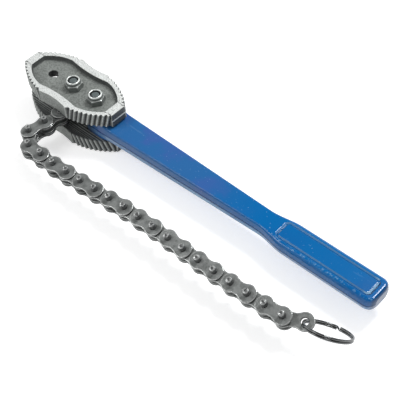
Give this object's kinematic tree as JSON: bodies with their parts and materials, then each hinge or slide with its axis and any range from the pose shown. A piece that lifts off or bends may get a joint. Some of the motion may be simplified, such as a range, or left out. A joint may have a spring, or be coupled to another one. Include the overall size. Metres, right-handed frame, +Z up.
{
  "type": "chain pipe wrench",
  "caption": "Chain pipe wrench: two toothed reversible jaws bolted on a forged handle, with a hinged pin chain that wraps the pipe and a split ring at its end.",
  "frame": {"origin": "on the front bolt's axis, in the plane of the lower jaw's bearing rim", "axes": "+X along the handle from the jaws to the grip, +Z up along the bolts"},
  "size_m": [0.4622, 0.118, 0.0565],
  "materials": {
    "handle_paint": "glossy blue enamel",
    "jaw_steel": "forged grey, machined rim",
    "chain_steel": "oiled grey",
    "pin_steel": "oiled grey",
    "zinc_plate": "zinc plated",
    "nylon": "dull",
    "ring_steel": "spring steel"
  },
  "bodies": {
    "frame": {"handle": "handle_paint", "upper_jaw": "jaw_steel", "lower_jaw": "jaw_steel", "front_bolt": "zinc_plate", "rear_bolt": "zinc_plate", "front_nut": "zinc_plate", "rear_nut": "zinc_plate", "nut_inserts": "nylon", "anchor_spacers": "pin_steel"},
    "anchor_link": {"anchor_plates": "chain_steel", "anchor_pin": "pin_steel"},
    "link_01": {"link_01_plates": "chain_steel", "link_01_bushes": "pin_steel"},
    "link_02": {"link_02_plates": "chain_steel", "link_02_pins": "pin_steel"},
    "link_03": {"link_03_plates": "chain_steel", "link_03_bushes": "pin_steel"},
    "link_04": {"link_04_plates": "chain_steel", "link_04_pins": "pin_steel"},
    "link_05": {"link_05_plates": "chain_steel", "link_05_bushes": "pin_steel"},
    "link_06": {"link_06_plates": "chain_steel", "link_06_pins": "pin_steel"},
    "link_07": {"link_07_plates": "chain_steel", "link_07_bushes": "pin_steel"},
    "link_08": {"link_08_plates": "chain_steel", "link_08_pins": "pin_steel"},
    "link_09": {"link_09_plates": "chain_steel", "link_09_bushes": "pin_steel"},
    "link_10": {"link_10_plates": "chain_steel", "link_10_pins": "pin_steel"},
    "link_11": {"link_11_plates": "chain_steel", "link_11_bushes": "pin_steel"},
    "link_12": {"link_12_plates": "chain_steel", "link_12_pins": "pin_steel"},
    "link_13": {"link_13_plates": "chain_steel", "link_13_bushes": "pin_steel"},
    "link_14": {"link_14_plates": "chain_steel", "link_14_pins": "pin_steel"},
    "link_15": {"link_15_plates": "chain_steel", "link_15_bushes": "pin_steel"},
    "link_16": {"link_16_plates": "chain_steel", "link_16_pins": "pin_steel"},
    "link_17": {"link_17_plates": "chain_steel", "link_17_bushes": "pin_steel"},
    "link_18": {"link_18_plates": "chain_steel", "link_18_pins": "pin_steel"},
    "link_19": {"link_19_plates": "chain_steel", "link_19_bushes": "pin_steel"},
    "link_20": {"link_20_plates": "chain_steel", "link_20_pins": "pin_steel"},
    "end_link": {"end_tab": "chain_steel", "end_bush": "pin_steel"},
    "ring": {"end_ring": "ring_steel"}
  },
  "joints": [
    {"name": "anchor_link_hinge", "type": "hinge", "parent": "frame", "child": "anchor_link", "pos_m": [0, 0, 0.026], "axis": [0, 0, 1], "range_deg": [-35, 3]},
    {"name": "link_01_hinge", "type": "hinge", "parent": "anchor_link", "child": "link_01", "pos_m": [0.00277, -0.02635, 0.026], "axis": [0, 0, -1], "range_deg": [-3, 35]},
    {"name": "link_02_hinge", "type": "hinge", "parent": "link_01", "child": "link_02", "pos_m": [0.00144, -0.04535, 0.02555], "axis": [0, -0.0471, 0.9989], "range_deg": [-35, 3]},
    {"name": "link_03_hinge", "type": "hinge", "parent": "link_02", "child": "link_03", "pos_m": [-0.00252, -0.06397, 0.02467], "axis": [0, 0.0471, -0.9989], "range_deg": [-3, 35]},
    {"name": "link_04_hinge", "type": "hinge", "parent": "link_03", "child": "link_04", "pos_m": [0.01164, -0.07668, 0.02377], "axis": [0, -0.0941, 0.9956], "range_deg": [-35, 3]},
    {"name": "link_05_hinge", "type": "hinge", "parent": "link_04", "child": "link_05", "pos_m": [0.03068, -0.07701, 0.02374], "axis": [0, 0.0941, -0.9956], "range_deg": [-3, 35]},
    {"name": "link_06_hinge", "type": "hinge", "parent": "link_05", "child": "link_06", "pos_m": [0.04973, -0.07734, 0.0237], "axis": [0, -0.1409, 0.99], "range_deg": [-35, 3]},
    {"name": "link_07_hinge", "type": "hinge", "parent": "link_06", "child": "link_07", "pos_m": [0.06876, -0.07636, 0.02384], "axis": [0, 0.1409, -0.99], "range_deg": [-4, 35]},
    {"name": "link_08_hinge", "type": "hinge", "parent": "link_07", "child": "link_08", "pos_m": [0.08778, -0.07537, 0.02401], "axis": [0, -0.1874, 0.9823], "range_deg": [-35, 4]},
    {"name": "link_09_hinge", "type": "hinge", "parent": "link_08", "child": "link_09", "pos_m": [0.1068, -0.07439, 0.02419], "axis": [0, 0.1874, -0.9823], "range_deg": [-4, 35]},
    {"name": "link_10_hinge", "type": "hinge", "parent": "link_09", "child": "link_10", "pos_m": [0.12581, -0.07309, 0.02447], "axis": [0, -0.2334, 0.9724], "range_deg": [-35, 5]},
    {"name": "link_11_hinge", "type": "hinge", "parent": "link_10", "child": "link_11", "pos_m": [0.14481, -0.0718, 0.02478], "axis": [0, 0.2334, -0.9724], "range_deg": [-5, 35]},
    {"name": "link_12_hinge", "type": "hinge", "parent": "link_11", "child": "link_12", "pos_m": [0.16386, -0.07148, 0.02487], "axis": [0, -0.279, 0.9603], "range_deg": [-35, 6]},
    {"name": "link_13_hinge", "type": "hinge", "parent": "link_12", "child": "link_13", "pos_m": [0.1829, -0.07116, 0.02496], "axis": [0, 0.279, -0.9603], "range_deg": [-6, 35]},
    {"name": "link_14_hinge", "type": "hinge", "parent": "link_13", "child": "link_14", "pos_m": [0.20195, -0.07148, 0.02487], "axis": [0, -0.2924, 0.9563], "range_deg": [-35, 7]},
    {"name": "link_15_hinge", "type": "hinge", "parent": "link_14", "child": "link_15", "pos_m": [0.221, -0.0718, 0.02477], "axis": [0, 0.2924, -0.9563], "range_deg": [-8, 35]},
    {"name": "link_16_hinge", "type": "hinge", "parent": "link_15", "child": "link_16", "pos_m": [0.24005, -0.07211, 0.02467], "axis": [0, -0.2924, 0.9563], "range_deg": [-35, 9]},
    {"name": "link_17_hinge", "type": "hinge", "parent": "link_16", "child": "link_17", "pos_m": [0.2591, -0.07211, 0.02467], "axis": [0, 0.2924, -0.9563], "range_deg": [-11, 35]},
    {"name": "link_18_hinge", "type": "hinge", "parent": "link_17", "child": "link_18", "pos_m": [0.27815, -0.07211, 0.02467], "axis": [0, -0.2924, 0.9563], "range_deg": [-35, 13]},
    {"name": "link_19_hinge", "type": "hinge", "parent": "link_18", "child": "link_19", "pos_m": [0.29718, -0.07148, 0.02487], "axis": [0, 0.2924, -0.9563], "range_deg": [-16, 35]},
    {"name": "link_20_hinge", "type": "hinge", "parent": "link_19", "child": "link_20", "pos_m": [0.31622, -0.07084, 0.02506], "axis": [0, -0.2924, 0.9563], "range_deg": [-35, 22]},
    {"name": "end_link_hinge", "type": "hinge", "parent": "link_20", "child": "end_link", "pos_m": [0.33525, -0.06989, 0.02535], "axis": [0, 0.2924, -0.9563], "range_deg": [-34, 35]},
    {"name": "ring_swing", "type": "hinge", "parent": "end_link", "child": "ring", "pos_m": [0.35251, -0.06219, 0.02771], "axis": [-0.9781, -0.1988, -0.0608], "range_deg": [-5, 60]}
  ]
}
